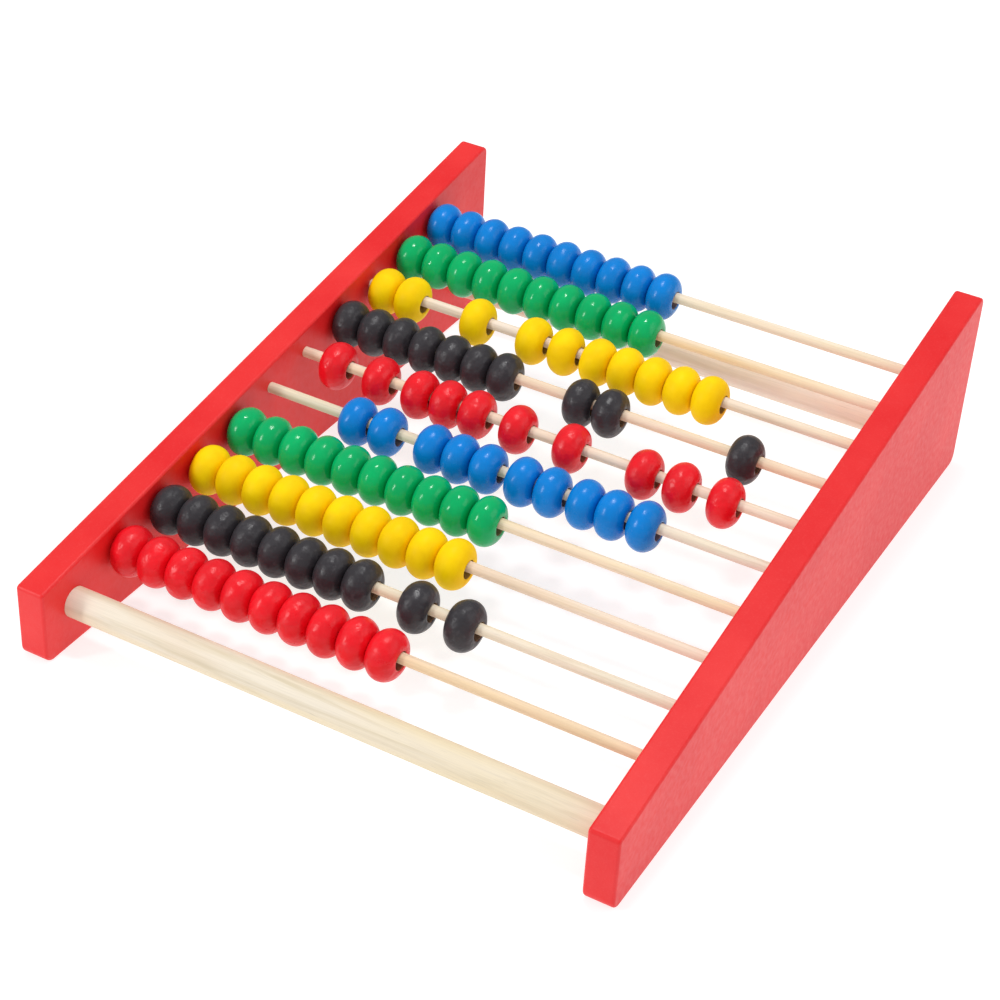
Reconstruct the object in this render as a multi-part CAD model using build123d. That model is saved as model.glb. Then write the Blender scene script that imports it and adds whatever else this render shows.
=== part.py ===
from build123d import *
import os
from math import acos, cos, sin

# Ten-row counting frame: two wedge-shaped side boards stand on their lower edges, two dowels
# tie them together, and ten thin rods between them carry ten ring beads each.
# Millimetres. X runs along the rods, Y from the low front edge to the tall back edge, Z up.
# The origin is at the middle of the footprint, on the surface that the frame stands on.

# ---- Side boards ----
frame_length = 300.0
frame_width = 233.5
board_thickness = 11.5
front_height = 30.0
back_height = 77.6
edge_ease = 1.1
corner_bottom_front = 4.0
corner_bottom_back = 4.5
corner_top_back = 3.0
corner_top_front = 1.6

# ---- Rods and dowels, glued into blind holes in the boards' inner faces ----
rod_diameter = 4.2
rod_rows = 10
rod_pitch = 23.8
front_rod_setback = 42.4
rod_below_top = 9.9
dowel_diameter = 11.6
dowel_height = 17.2
front_dowel_setback = 16.9
rear_dowel_setback = 15.0
socket_depth = 7.5
glue_gap = 0.05
rod_end_chamfer = 0.4
dowel_end_chamfer = 0.8

# ---- Beads ----
bead_diameter = 18.9
bead_hole_diameter = 7.0
mouth_chamfer = 0.3
section_arcs = 6
hang_clearance = 0.12
touch_gap = 0.1

# One entry for each row, from the back: bead width, then the groups of beads from the left.
# A group is one node. It lists the free space before each of its beads, on top of touch_gap.
packed_groups = [[0, 0, 0, 0], [0, 0, 0], [0, 0], [0]]
rows = [
    (11.1, packed_groups),
    (11.6, packed_groups),
    (11.8, [[1.5, 0], [18.1], [13.2], [2.3], [2.1, 0, 0, 0, 0]]),
    (11.5, [[0, 0, 0, 0], [0, 0, 0], [21.2, 0.9], [43.9]]),
    (11.6, [[9.3], [7.8], [5.7, 0.6, 0.9], [6.0], [10.8], [18.5], [3.3], [5.8]]),
    (11.5, [[33.6, 1.4], [8.3, 0, 0.2], [3.2, 0.4], [1.9, 0], [1.0]]),
    (11.4, packed_groups),
    (11.5, packed_groups),
    (11.5, [[0, 0, 0, 0], [0, 0, 0, 0], [11.1], [7.0]]),
    (11.7, packed_groups),
]

# ---- Worked out from the above ----
half_length = frame_length / 2
inner_half_width = frame_width / 2 - board_thickness
top_slope = (back_height - front_height) / frame_length
hole_radius = bead_hole_diameter / 2
bead_drop = hole_radius - rod_diameter / 2 - hang_clearance


def top_height(y):
    """Height of the boards' sloping top edge at y."""
    return front_height + top_slope * (y + half_length)


def rod_place(row):
    """Y and Z of a row's rod axis. Row 1 is at the back."""
    y = -half_length + front_rod_setback + rod_pitch * (rod_rows - row)
    return y, top_height(y) - rod_below_top


def front_dowel_place():
    """Y and Z of the dowel across the low end."""
    return -half_length + front_dowel_setback, dowel_height


def rear_dowel_place():
    """Y and Z of the dowel across the tall end."""
    return half_length - rear_dowel_setback, dowel_height


def bar_along_x(diameter, length, place):
    """Round bar centred on X = 0, with its axis at place."""
    y, z = place
    return Pos(0, y, z) * Rot(0, 90, 0) * Cylinder(diameter / 2, length)


def board_outline():
    """The wedge profile of a side board with its four rounded corners, in the Y-Z plane."""
    corners = [
        (-half_length, 0),
        (half_length, 0),
        (half_length, back_height),
        (-half_length, front_height),
    ]
    radii = [corner_bottom_front, corner_bottom_back, corner_top_back, corner_top_front]
    return FilletPolyline(*corners, radius=radii, close=True)


def side_board(hand):
    """A side board: hand is -1 for the left one and +1 for the right one."""
    outline = make_face(Plane.YZ * board_outline())
    board = Pos(hand * inner_half_width, 0, 0) * extrude(outline, hand * board_thickness)
    faces = board.faces().sort_by(Axis.X)
    long_edges = faces[0].edges() + faces[-1].edges()
    board = fillet(long_edges, edge_ease)
    socket_span = 2 * (inner_half_width + socket_depth)
    for row in range(1, rod_rows + 1):
        board -= bar_along_x(rod_diameter + 2 * glue_gap, socket_span, rod_place(row))
    for place in (front_dowel_place(), rear_dowel_place()):
        board -= bar_along_x(dowel_diameter + 2 * glue_gap, socket_span, place)
    return board


def seated_bar(diameter, end_chamfer, place):
    """A rod or dowel whose ends seat on the floors of its two blind holes."""
    bar = bar_along_x(diameter, 2 * (inner_half_width + socket_depth), place)
    ends = bar.faces().filter_by(Axis.X).edges()
    return chamfer(ends, end_chamfer)


def bead(width):
    """Ring bead about the X axis: a circular section, in equal arcs, with a chamfered hole."""
    section_radius = width / 2
    section_centre = bead_diameter / 2 - section_radius
    reach = acos((hole_radius + mouth_chamfer - section_centre) / section_radius)
    turn = 2 * reach / section_arcs

    def rim(angle):
        """Point of the round at an angle from its crown."""
        return section_radius * sin(angle), section_centre + section_radius * cos(angle)

    starts = [turn * k - reach for k in range(section_arcs)]
    outside = [ThreePointArc(rim(a), rim(a + turn / 2), rim(a + turn)) for a in starts]
    bore_end = rim(reach)[0] - mouth_chamfer
    inside = Polyline(rim(reach), (bore_end, hole_radius), (-bore_end, hole_radius), rim(-reach))
    return revolve(make_face(outside + [inside]), Axis.X)


def node_name(row, first, last):
    """Plain name of a group of beads, counted from the left."""
    if first == last:
        return f"row_{row}_bead_{first}"
    return f"row_{row}_beads_{first}_to_{last}"


def bead_groups(row):
    """The bead nodes of one row: name and shape of each."""
    width, groups = rows[row - 1]
    y, z = rod_place(row)
    shape = bead(width)
    left_end = -inner_half_width
    count = 0
    made = []
    for gaps in groups:
        beads = []
        first = count + 1
        for gap in gaps:
            centre = left_end + touch_gap + gap + width / 2
            beads.append(Pos(centre, y, z - bead_drop) * shape)
            left_end = centre + width / 2
            count += 1
        made.append((node_name(row, first, count), Compound(children=beads)))
    return made


def save(name, shape):
    """Write one node."""
    export_step(shape, f"parts/{name}.step")


os.makedirs("parts", exist_ok=True)

save("left_side_board", side_board(-1))
save("right_side_board", side_board(1))
save("front_dowel", seated_bar(dowel_diameter, dowel_end_chamfer, front_dowel_place()))
save("rear_dowel", seated_bar(dowel_diameter, dowel_end_chamfer, rear_dowel_place()))

for row in range(1, rod_rows + 1):
    save(f"rod_{row}", seated_bar(rod_diameter, rod_end_chamfer, rod_place(row)))
    for name, shape in bead_groups(row):
        save(name, shape)
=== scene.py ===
import math
import random
from collections import namedtuple

import bpy
import numpy as np
from mathutils import Matrix, Vector, noise


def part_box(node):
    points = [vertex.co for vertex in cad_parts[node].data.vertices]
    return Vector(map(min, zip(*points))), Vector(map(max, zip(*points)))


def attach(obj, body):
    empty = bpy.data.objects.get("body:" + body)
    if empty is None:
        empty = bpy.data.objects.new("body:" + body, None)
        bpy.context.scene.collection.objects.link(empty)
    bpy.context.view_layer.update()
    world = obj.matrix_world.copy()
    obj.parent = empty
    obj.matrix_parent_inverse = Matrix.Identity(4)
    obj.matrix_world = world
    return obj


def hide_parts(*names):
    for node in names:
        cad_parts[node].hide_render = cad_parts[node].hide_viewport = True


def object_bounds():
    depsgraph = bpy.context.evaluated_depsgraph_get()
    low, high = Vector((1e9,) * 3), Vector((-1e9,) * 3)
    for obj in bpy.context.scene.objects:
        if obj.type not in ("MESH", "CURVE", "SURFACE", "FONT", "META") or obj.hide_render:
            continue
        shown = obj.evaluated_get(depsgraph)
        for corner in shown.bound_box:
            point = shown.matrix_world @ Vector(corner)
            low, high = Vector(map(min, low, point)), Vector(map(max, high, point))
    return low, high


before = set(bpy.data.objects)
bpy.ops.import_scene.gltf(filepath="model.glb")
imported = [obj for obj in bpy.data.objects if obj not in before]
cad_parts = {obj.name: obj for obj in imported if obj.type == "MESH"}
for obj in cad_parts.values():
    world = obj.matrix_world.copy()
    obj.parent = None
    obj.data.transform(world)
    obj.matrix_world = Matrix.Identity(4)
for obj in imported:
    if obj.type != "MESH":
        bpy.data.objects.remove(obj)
cad_low, cad_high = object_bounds()

MM = 0.001
SEED = 41

# ---- The beads' rows, from the tall back to the low front ----
ROW_COLOURS = ["blue", "green", "yellow", "black", "red"] * 2

# Bead paint: wander is how far the roughness drifts, uneven scales every bump.
Paint = namedtuple("Paint", "colour roughness wander shine uneven scuffs")
BEAD_PAINT = {
    "blue": Paint((0.002, 0.205, 0.640), 0.25, 0.07, 0.22, 0.9, 0.03),
    "green": Paint((0.001, 0.410, 0.125), 0.17, 0.05, 0.26, 0.8, 0.03),
    "yellow": Paint((1.000, 0.640, 0.001), 0.52, 0.08, 0.10, 0.8, 0.00),
    "black": Paint((0.034, 0.031, 0.036), 0.39, 0.10, 0.34, 2.2, 0.14),
    "red": Paint((0.820, 0.004, 0.013), 0.35, 0.08, 0.36, 2.2, 0.05),
}
BARE_WOOD_IN_BORE = (0.36, 0.22, 0.12)
SCUFF_GREY = (0.22, 0.21, 0.22)

# Board paint: its light and deep clouds and its flecks.
BOARD_RED = (0.820, 0.019, 0.019)
BOARD_DEEP_RED = (0.750, 0.003, 0.006)
BOARD_FLECK = (0.84, 0.075, 0.07)

# Rod woods from row 1 to row 10: some are pinker, some paler.
ROD_TINTS = [
    (0.89, 0.77, 0.62),
    (0.89, 0.74, 0.58),
    (0.88, 0.76, 0.65),
    (0.88, 0.72, 0.55),
    (0.88, 0.73, 0.60),
    (0.85, 0.77, 0.66),
    (0.88, 0.74, 0.57),
    (0.88, 0.73, 0.59),
    (0.86, 0.77, 0.65),
    (0.87, 0.70, 0.54),
]
# Dowel wood tints. The rear dowel's tint is painted light: it is paler than the front dowel's wood so
# the dowel looks brighter where it sits in shade behind and below the rows.
DOWEL_TINTS_REAR_PAINTED_LIGHTER = {"front_dowel": (0.82, 0.735, 0.605), "rear_dowel": (0.92, 0.80, 0.67)}

# ---- Meshes ----
BEAD_SIDES = 56
BEAD_ARC_STEPS = 34
MOUTH_STEPS = 5
BORE_STEPS = 5
MOUTH_ROUND = 0.5 * MM
ROD_SIDES = 40
ROD_RINGS = 90
END_CHAMFER = 0.4 * MM

# How far a bead is out of true: lumps on its form, and its tilt on the rod in degrees.
BEAD_LUMP = 0.13 * MM
BEAD_LUMP_SIZE = 6 * MM
BEAD_YAW = 1.1
BEAD_NOD = 0.5

# Marks on a bead's vertices.
MOUTH_WEAR_REACH = 1.2 * MM
BORE_SLACK = 0.08 * MM
BORE_INSET = 0.35 * MM

# A rod's unevenness, in shares of its radius.
ROD_LUMP = 0.012
ROD_LUMP_SIZE = 6

# ---- Light ----
WORLD_FILL = 0.62
WORLD_IN_GLOSS = 0.35
FLOOR_GLOW = 0.74
FLOOR_WHITE = (0.42, 0.42, 0.42, 1.0)
FLOOR_HALF = 6.0
FLOOR_DROP = 0.05 * MM

# ---- Camera: angles in degrees, from the front and from level; aim is from the object's middle ----
CAMERA_AZIMUTH = 27.744
CAMERA_ELEVATION = 35.22
CAMERA_ROLL = 3.398
CAMERA_DISTANCE = 0.8323
CAMERA_AIM = Vector((0.0, -0.0199, -0.0035))
CAMERA_LENS = 82.63


# ------------------------------------------------------------------ node helpers
class Tree:
    """Short calls for building one material's nodes."""

    def __init__(self, name):
        self.material = bpy.data.materials.new(name)
        self.material.use_nodes = True
        self.nodes = self.material.node_tree.nodes
        self.links = self.material.node_tree.links
        self.shader = self.nodes["Principled BSDF"]
        self.where = self.nodes.new("ShaderNodeTexCoord").outputs["Object"]

    def link(self, source, target):
        self.links.new(source, target)

    def feed(self, socket, value):
        """A link if value is a socket, and the socket's own value if it is a number or a colour."""
        if isinstance(value, bpy.types.NodeSocket):
            self.links.new(value, socket)
        elif isinstance(value, tuple) and len(value) == 3 and socket.type == "RGBA":
            socket.default_value = (*value, 1.0)
        else:
            socket.default_value = value

    def stretched(self, scale, shift=(0.0, 0.0, 0.0)):
        """Object coordinates times scale, one factor for each axis."""
        node = self.nodes.new("ShaderNodeMapping")
        self.link(self.where, node.inputs["Vector"])
        node.inputs["Scale"].default_value = scale
        node.inputs["Location"].default_value = shift
        return node.outputs["Vector"]

    def noise(self, vector, scale=1.0, detail=3.0, rough=0.5, distort=0.0):
        node = self.nodes.new("ShaderNodeTexNoise")
        self.link(vector, node.inputs["Vector"])
        node.inputs["Scale"].default_value = scale
        node.inputs["Detail"].default_value = detail
        node.inputs["Roughness"].default_value = rough
        node.inputs["Distortion"].default_value = distort
        return node.outputs["Fac"]

    def cells(self, vector, scale):
        node = self.nodes.new("ShaderNodeTexVoronoi")
        self.link(vector, node.inputs["Vector"])
        node.inputs["Scale"].default_value = scale
        return node.outputs["Distance"]

    def attribute(self, name):
        node = self.nodes.new("ShaderNodeAttribute")
        node.attribute_name = name
        return node.outputs["Fac"]

    def remap(self, value, low, high, to_low=0.0, to_high=1.0, smooth=False):
        node = self.nodes.new("ShaderNodeMapRange")
        node.interpolation_type = "SMOOTHSTEP" if smooth else "LINEAR"
        self.link(value, node.inputs["Value"])
        node.inputs["From Min"].default_value = low
        node.inputs["From Max"].default_value = high
        node.inputs["To Min"].default_value = to_low
        node.inputs["To Max"].default_value = to_high
        return node.outputs["Result"]

    def math(self, kind, first, second):
        node = self.nodes.new("ShaderNodeMath")
        node.operation = kind
        self.feed(node.inputs[0], first)
        self.feed(node.inputs[1], second)
        return node.outputs["Value"]

    def mix(self, share, first, second):
        node = self.nodes.new("ShaderNodeMix")
        node.data_type = "RGBA"
        self.feed(node.inputs["Factor"], share)
        self.feed(node.inputs[6], first)
        self.feed(node.inputs[7], second)
        return node.outputs[2]

    def bump(self, height, strength, distance, normal=None):
        node = self.nodes.new("ShaderNodeBump")
        self.link(height, node.inputs["Height"])
        node.inputs["Strength"].default_value = strength
        node.inputs["Distance"].default_value = distance
        if normal is not None:
            self.link(normal, node.inputs["Normal"])
        return node.outputs["Normal"]


def scaled(colour, factor):
    """A colour made darker or lighter."""
    return tuple(min(1.0, c * factor) for c in colour)


# ------------------------------------------------------------------ materials
def bead_material(name):
    """Paint on a turned bead: faint colour drift, soft gloss, small dents, worn mouths, bare bore."""
    colour, rough, wander, shine, uneven, scuffs = BEAD_PAINT[name]
    t = Tree(f"bead_paint_{name}")
    cloud = t.noise(t.where, 110.0, 2.0)
    paint = t.mix(t.remap(cloud, 0.35, 0.65), scaled(colour, 0.92), scaled(colour, 1.06))
    speck = t.remap(t.noise(t.where, 1900.0, 2.0), 0.70, 0.80)
    paint = t.mix(t.math("MULTIPLY", speck, 0.25), paint, scaled(colour, 0.55))
    rubbed = t.remap(t.noise(t.where, 330.0, 4.0, 0.65), 0.55, 0.72, 0.0, scuffs)
    paint = t.mix(rubbed, paint, SCUFF_GREY)
    ragged = t.math("MULTIPLY", t.noise(t.where, 1500.0, 3.0), 0.5)
    worn = t.remap(t.math("ADD", t.attribute("mouth"), ragged), 1.12, 1.20)
    bore_tone = t.remap(t.noise(t.where, 700.0, 3.0), 0.3, 0.7)
    bore = t.mix(bore_tone, scaled(BARE_WOOD_IN_BORE, 0.5), BARE_WOOD_IN_BORE)
    bore = t.mix(0.45, bore, scaled(colour, 0.45))
    paint = t.mix(t.math("MULTIPLY", worn, 0.75), paint, BARE_WOOD_IN_BORE)
    t.feed(t.shader.inputs["Base Color"], t.mix(t.attribute("bore"), paint, bore))
    gloss = t.remap(t.noise(t.where, 260.0, 3.0), 0.3, 0.7, rough - wander, rough + wander)
    matte = t.math("MAXIMUM", worn, t.attribute("bore"))
    gloss = t.math("ADD", gloss, t.math("MULTIPLY", matte, 0.35))
    t.feed(t.shader.inputs["Roughness"], gloss)
    t.shader.inputs["Specular IOR Level"].default_value = shine
    swell = t.bump(t.noise(t.where, 210.0, 2.0), 0.55 * uneven, 0.55 * MM)
    ripple = t.bump(t.noise(t.where, 480.0, 2.0), 0.30 * uneven, 0.25 * MM, swell)
    peel = t.bump(t.noise(t.where, 1300.0, 3.0), 0.16 * uneven, 0.10 * MM, ripple)
    dent = t.remap(t.cells(t.where, 520.0), 0.0, 0.16)
    t.feed(t.shader.inputs["Normal"], t.bump(dent, 0.10 * uneven, 0.1 * MM, peel))
    return t.material


def wood_material(name, tint, shift, coarse=1.0):
    """Bare dowel wood: soft broad bands, long pale streaks, fine fibres and a few short pores."""
    t = Tree(name)
    yellower = (tint[0] * 0.99, tint[1] * 0.93, tint[2] * 0.76)
    rosier = (tint[0] * 0.97, tint[1] * 0.86, tint[2] * 0.80)
    band = t.noise(t.stretched((7.0, 150.0 / coarse, 150.0 / coarse), shift), 1.0, 2.0)
    streak = t.noise(t.stretched((13.0, 520.0 / coarse, 520.0 / coarse), shift), 1.0, 4.0, 0.6, 0.6)
    fibre = t.noise(t.stretched((60.0, 2600.0, 2600.0), shift), 1.0, 3.0, 0.6)
    tone = t.noise(t.stretched((22.0, 60.0, 60.0), shift), 1.0, 2.0)
    wood = t.mix(t.remap(band, 0.38, 0.64), tint, yellower)
    wood = t.mix(t.remap(streak, 0.48, 0.70, 0.0, 0.80), wood, scaled(yellower, 0.80))
    wood = t.mix(t.remap(tone, 0.5, 0.72, 0.0, 0.45), wood, rosier)
    wood = t.mix(t.remap(fibre, 0.40, 0.80, 0.0, 0.28), wood, scaled(tint, 0.66))
    pore = t.noise(t.stretched((140.0, 2600.0, 2600.0), shift), 1.0, 1.0)
    pore = t.remap(pore, 0.71, 0.79)
    wood = t.mix(t.math("MULTIPLY", pore, 0.30), wood, scaled(tint, 0.50))
    t.feed(t.shader.inputs["Base Color"], wood)
    t.feed(t.shader.inputs["Roughness"], t.remap(fibre, 0.3, 0.7, 0.50, 0.66))
    t.shader.inputs["Specular IOR Level"].default_value = 0.30
    grain = t.bump(streak, 0.25, 0.15 * MM)
    t.feed(t.shader.inputs["Normal"], t.bump(fibre, 0.25, 0.05 * MM, grain))
    return t.material


def board_material():
    """Red paint sprayed on smooth board: fine orange peel, tiny dust nibs, faint cloudiness."""
    t = Tree("side_paint")
    cloud = t.noise(t.where, 24.0, 3.0)
    paint = t.mix(t.remap(cloud, 0.36, 0.64), BOARD_DEEP_RED, BOARD_RED)
    fleck = t.remap(t.noise(t.where, 1300.0, 2.0), 0.52, 0.74, 0.0, 0.20)
    paint = t.mix(fleck, paint, BOARD_FLECK)
    t.feed(t.shader.inputs["Base Color"], paint)
    sheen = t.remap(t.noise(t.where, 420.0, 3.0), 0.3, 0.7, 0.38, 0.52)
    t.feed(t.shader.inputs["Roughness"], sheen)
    t.shader.inputs["Specular IOR Level"].default_value = 0.45
    wave = t.bump(t.noise(t.where, 60.0, 2.0), 0.12, 1.0 * MM)
    peel = t.bump(t.noise(t.where, 900.0, 3.0), 0.16, 0.14 * MM, wave)
    nib = t.remap(t.cells(t.where, 300.0), 0.10, 0.0)
    t.feed(t.shader.inputs["Normal"], t.bump(nib, 0.15, 0.12 * MM, peel))
    return t.material


# ------------------------------------------------------------------ meshes
def lathe(name, profile, sides, closed):
    """A mesh turned about the X axis from (x, radius) points."""
    count = len(profile)
    points = []
    for step in range(sides):
        turn = 2 * math.pi * step / sides
        for x, radius in profile:
            points.append((x, radius * math.cos(turn), radius * math.sin(turn)))
    faces = []
    for step in range(sides):
        here, after = step * count, (step + 1) % sides * count
        for k in range(count if closed else count - 1):
            n = (k + 1) % count
            faces.append((here + k, here + n, after + n, after + k))
    if not closed:
        faces.append([step * count for step in range(sides)])
        faces.append([step * count + count - 1 for step in reversed(range(sides))])
    mesh = bpy.data.meshes.new(name)
    mesh.from_pydata(points, [], faces)
    mesh.update()
    piece = bpy.data.objects.new(name, mesh)
    bpy.context.scene.collection.objects.link(piece)
    mesh.shade_smooth()
    return piece


def bead_profile(radius, width, hole):
    """Section of a ring bead: a round outside, rounded mouths and a straight bore."""
    section = width / 2
    centre = radius - section
    side = math.sqrt(section ** 2 - (centre - hole) ** 2)
    reach = math.atan2(hole + MOUTH_ROUND - centre, side)
    profile = []
    for k in range(BEAD_ARC_STEPS + 1):
        angle = reach + (math.pi - 2 * reach) * k / BEAD_ARC_STEPS
        profile.append((section * math.cos(angle), centre + section * math.sin(angle)))
    edge_x = profile[-1][0]
    for k in range(1, MOUTH_STEPS + 1):
        angle = math.pi / 2 * k / MOUTH_STEPS
        inward = MOUTH_ROUND * (1 - math.cos(angle))
        profile.append((edge_x + inward, hole + MOUTH_ROUND * (1 - math.sin(angle))))
    bore_end = -profile[-1][0]
    start = profile[-1][0]
    for k in range(1, BORE_STEPS):
        profile.append((start + (bore_end - start) * k / BORE_STEPS, hole))
    for k in range(MOUTH_STEPS, 0, -1):
        angle = math.pi / 2 * k / MOUTH_STEPS
        inward = MOUTH_ROUND * (1 - math.cos(angle))
        profile.append((-edge_x - inward, hole + MOUTH_ROUND * (1 - math.sin(angle))))
    return profile


def paint_marks(piece, hole):
    """Vertex values that the bead paint reads: mouth is 1 at the hole's edge, bore is 1 inside."""
    mesh = piece.data
    mouth = mesh.attributes.new("mouth", "FLOAT", "POINT")
    bore = mesh.attributes.new("bore", "FLOAT", "POINT")
    ends = max(v.co.x for v in mesh.vertices)
    for v in mesh.vertices:
        radius = math.hypot(v.co.y, v.co.z)
        mouth.data[v.index].value = max(0.0, 1.0 - abs(radius - hole) / MOUTH_WEAR_REACH)
        inside = radius < hole + BORE_SLACK and abs(v.co.x) < ends - BORE_INSET
        bore.data[v.index].value = 1.0 if inside else 0.0


def roughen(piece, amount, size, seed):
    """Small unevenness of the whole form, along the normals."""
    mesh = piece.data
    normals = [v.normal.copy() for v in mesh.vertices]
    for v, normal in zip(mesh.vertices, normals):
        v.co += normal * amount * noise.noise(v.co / size + Vector((seed, 0.3 * seed, 0.0)))


def bead_centres(node):
    """The beads of a CAD node: their centres along X, the radius, width, hole and axis."""
    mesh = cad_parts[node].data
    points = np.zeros(len(mesh.vertices) * 3, np.float32)
    mesh.vertices.foreach_get("co", points)
    points = points.reshape(-1, 3).astype(float)
    low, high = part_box(node)
    axis_y, axis_z = (low.y + high.y) / 2, (low.z + high.z) / 2
    radii = np.hypot(points[:, 1] - axis_y, points[:, 2] - axis_z)
    crown = np.sort(points[radii > radii.max() - 0.02 * MM, 0])
    groups = np.split(crown, np.nonzero(np.diff(crown) > 4 * MM)[0] + 1)
    centres = [(g[0] + g[-1]) / 2 for g in groups]
    width = 2 * (centres[0] - low.x)
    return centres, radii.max(), width, radii.min(), (axis_y, axis_z)


def fit_between_neighbours(mesh, width):
    """Scale and centre a bead along its rod so that it keeps to its own width."""
    low = min(v.co.x for v in mesh.vertices)
    high = max(v.co.x for v in mesh.vertices)
    for v in mesh.vertices:
        v.co.x = (v.co.x - (low + high) / 2) * width / (high - low)


def make_bead(name, centre, size, material, luck):
    """One turned and painted bead, a little out of true like its neighbours."""
    radius, width, hole, (axis_y, axis_z) = size
    piece = lathe(name, bead_profile(radius, width, hole), BEAD_SIDES, closed=True)
    paint_marks(piece, hole)
    roughen(piece, BEAD_LUMP, BEAD_LUMP_SIZE, luck.uniform(0, 90))
    spin = Matrix.Rotation(luck.uniform(0, 2 * math.pi), 4, "X")
    yaw = Matrix.Rotation(math.radians(luck.uniform(-BEAD_YAW, BEAD_YAW)), 4, "Z")
    nod = Matrix.Rotation(math.radians(luck.uniform(-BEAD_NOD, BEAD_NOD)), 4, "Y")
    piece.data.transform(yaw @ nod @ spin)
    fit_between_neighbours(piece.data, width)
    piece.data.transform(Matrix.Translation((centre, axis_y, axis_z)))
    piece.data.materials.append(material)
    return piece


def make_rod(name, node, material, luck):
    """A rod or dowel where the CAD one is, with slight unevenness."""
    low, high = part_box(node)
    radius = (high.z - low.z) / 2
    profile = [(low.x, radius - END_CHAMFER), (low.x + END_CHAMFER, radius)]
    span = high.x - low.x - 2 * END_CHAMFER
    for k in range(1, ROD_RINGS):
        profile.append((low.x + END_CHAMFER + span * k / ROD_RINGS, radius))
    profile += [(high.x - END_CHAMFER, radius), (high.x, radius - END_CHAMFER)]
    piece = lathe(name, profile, ROD_SIDES, closed=False)
    roughen(piece, ROD_LUMP * radius, ROD_LUMP_SIZE * radius, luck.uniform(0, 90))
    piece.data.transform(Matrix.Translation((0, (low.y + high.y) / 2, (low.z + high.z) / 2)))
    piece.data.materials.append(material)
    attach(piece, "frame")
    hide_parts(node)
    return piece


# ------------------------------------------------------------------ the object
def dress_boards():
    paint = board_material()
    for node in ("left_side_board", "right_side_board"):
        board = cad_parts[node]
        board.data.materials.clear()
        board.data.materials.append(paint)


def dress_rods(luck):
    for row, tint in enumerate(ROD_TINTS, 1):
        wood = wood_material(f"rod_wood_{row}", tint, (0.37 * row, 0.11 * row, 0.0))
        make_rod(f"turned_rod_{row}", f"rod_{row}", wood, luck)
    for k, node in enumerate(("front_dowel", "rear_dowel")):
        # The rear dowel's lighter tint is painted light for its shaded place under the rows.
        wood = wood_material(f"{node}_wood", DOWEL_TINTS_REAR_PAINTED_LIGHTER[node], (4.1 + k, 0.7, 0.0), coarse=2.2)
        make_rod(f"turned_{node}", node, wood, luck)


def dress_beads(luck):
    paints = {colour: bead_material(colour) for colour in BEAD_PAINT}
    for node in sorted(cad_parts):
        words = node.split("_")
        if words[0] != "row":
            continue
        row, number = int(words[1]), int(words[3])
        colour = ROW_COLOURS[row - 1]
        centres, *size = bead_centres(node)
        for centre in centres:
            name = f"{colour}_bead_{row}_{number}"
            piece = make_bead(name, centre, size, paints[colour], luck)
            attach(piece, node)
            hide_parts(node)
            number += 1


# ------------------------------------------------------------------ the stage
def area_light(name, place, aim, width, height, watts):
    data = bpy.data.lights.new(name, "AREA")
    data.shape = "RECTANGLE"
    data.size, data.size_y, data.energy = width, height, watts
    lamp = bpy.data.objects.new(name, data)
    lamp.location = place
    lamp.rotation_mode = "QUATERNION"
    lamp.rotation_quaternion = (Vector(aim) - Vector(place)).to_track_quat("-Z", "Y")
    bpy.context.scene.collection.objects.link(lamp)


def floor():
    mesh = bpy.data.meshes.new("floor")
    corners = [(x * FLOOR_HALF, y * FLOOR_HALF, 0) for x, y in ((-1, -1), (1, -1), (1, 1), (-1, 1))]
    mesh.from_pydata(corners, [], [(0, 1, 2, 3)])
    piece = bpy.data.objects.new("floor", mesh)
    bpy.context.scene.collection.objects.link(piece)
    t = Tree("floor_white")
    t.shader.inputs["Base Color"].default_value = FLOOR_WHITE
    t.shader.inputs["Roughness"].default_value = 0.9
    t.shader.inputs["Specular IOR Level"].default_value = 0.0
    t.shader.inputs["Emission Color"].default_value = (1.0, 1.0, 1.0, 1.0)
    t.shader.inputs["Emission Strength"].default_value = FLOOR_GLOW
    mesh.materials.append(t.material)
    piece.location.z = cad_low.z - FLOOR_DROP


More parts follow.
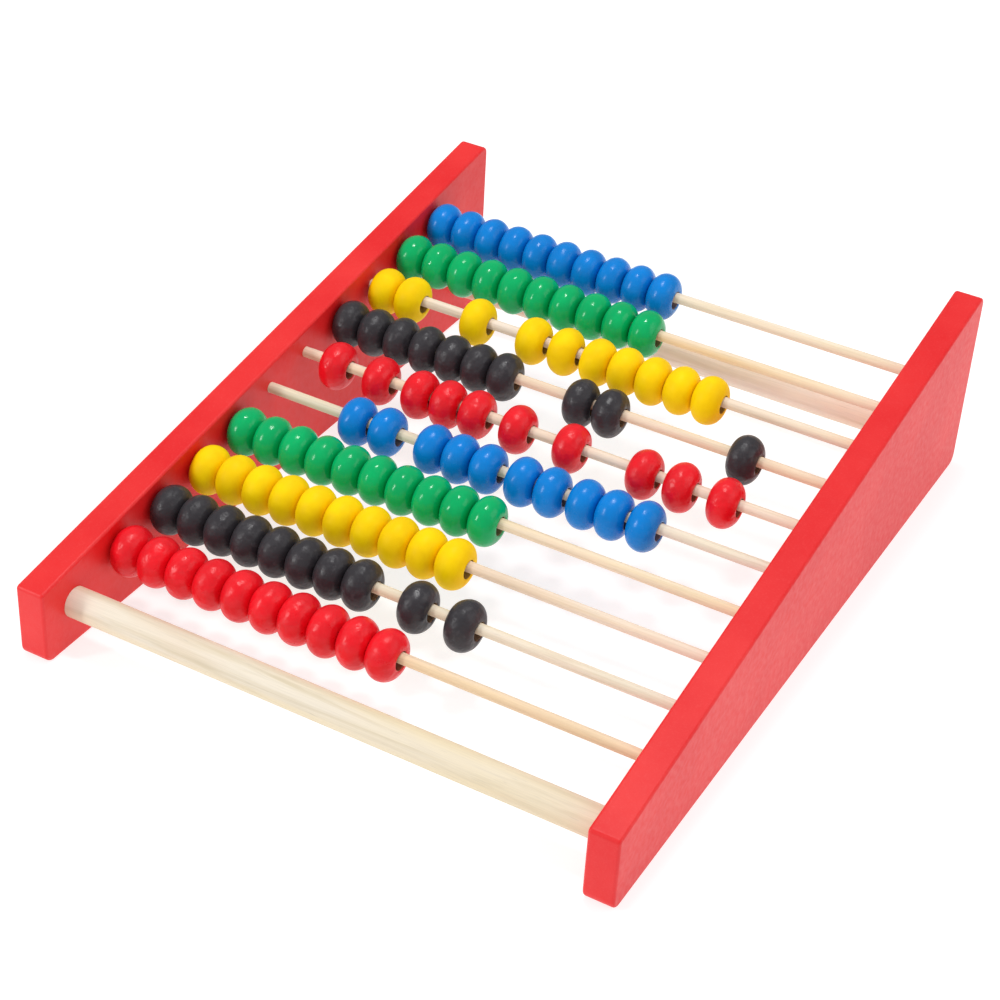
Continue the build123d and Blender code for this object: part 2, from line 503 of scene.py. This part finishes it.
def surroundings():
    """White all round for the camera and for soft fill, dimmer where gloss reflects it."""
    world = bpy.data.worlds.new("studio")
    bpy.context.scene.world = world
    world.use_nodes = True
    nodes, links = world.node_tree.nodes, world.node_tree.links
    sky = nodes["Background"]
    sky.inputs["Color"].default_value = (1.0, 1.0, 1.0, 1.0)
    rays = nodes.new("ShaderNodeLightPath")
    seen = nodes.new("ShaderNodeMapRange")
    links.new(rays.outputs["Is Camera Ray"], seen.inputs["Value"])
    seen.inputs["To Min"].default_value = WORLD_FILL
    seen.inputs["To Max"].default_value = 1.0
    glossy = nodes.new("ShaderNodeMix")
    links.new(rays.outputs["Is Glossy Ray"], glossy.inputs[0])
    links.new(seen.outputs["Result"], glossy.inputs[2])
    glossy.inputs[3].default_value = WORLD_IN_GLOSS
    links.new(glossy.outputs[0], sky.inputs["Strength"])


def studio():
    surroundings()
    middle = (0.0, 0.0, 0.03)
    area_light("top_box", (-0.05, 0.10, 1.25), middle, 0.22, 0.18, 5.5)
    area_light("front_strip", (-0.80, -1.05, 0.75), middle, 0.15, 0.45, 6.1)
    area_light("right_box", (1.20, 0.30, 0.70), middle, 0.9, 0.9, 3.0)
    scene = bpy.context.scene
    scene.view_settings.view_transform = "Standard"
    scene.view_settings.look = "None"


def camera():
    """A long lens from the right and above, a little rolled."""
    degrees = (CAMERA_AZIMUTH, CAMERA_ELEVATION, CAMERA_ROLL)
    azimuth, elevation, roll = (math.radians(a) for a in degrees)
    target = (cad_low + cad_high) / 2 + CAMERA_AIM
    flat = math.cos(elevation)
    back = Vector((math.sin(azimuth) * flat, -math.cos(azimuth) * flat, math.sin(elevation)))
    right = Vector((math.cos(azimuth), math.sin(azimuth), 0.0))
    up = back.cross(right)
    side = math.cos(roll) * right + math.sin(roll) * up
    rise = math.cos(roll) * up - math.sin(roll) * right
    data = bpy.data.cameras.new("camera")
    data.sensor_width = 36.0
    data.lens = CAMERA_LENS
    data.clip_start = 0.01
    eye = bpy.data.objects.new("camera", data)
    eye.rotation_mode = "QUATERNION"
    eye.rotation_quaternion = Matrix((side, rise, back)).transposed().to_quaternion()
    eye.location = target + back * CAMERA_DISTANCE
    bpy.context.scene.collection.objects.link(eye)
    bpy.context.scene.camera = eye


luck = random.Random(SEED)
camera()
studio()
floor()
dress_boards()
dress_rods(luck)
dress_beads(luck)
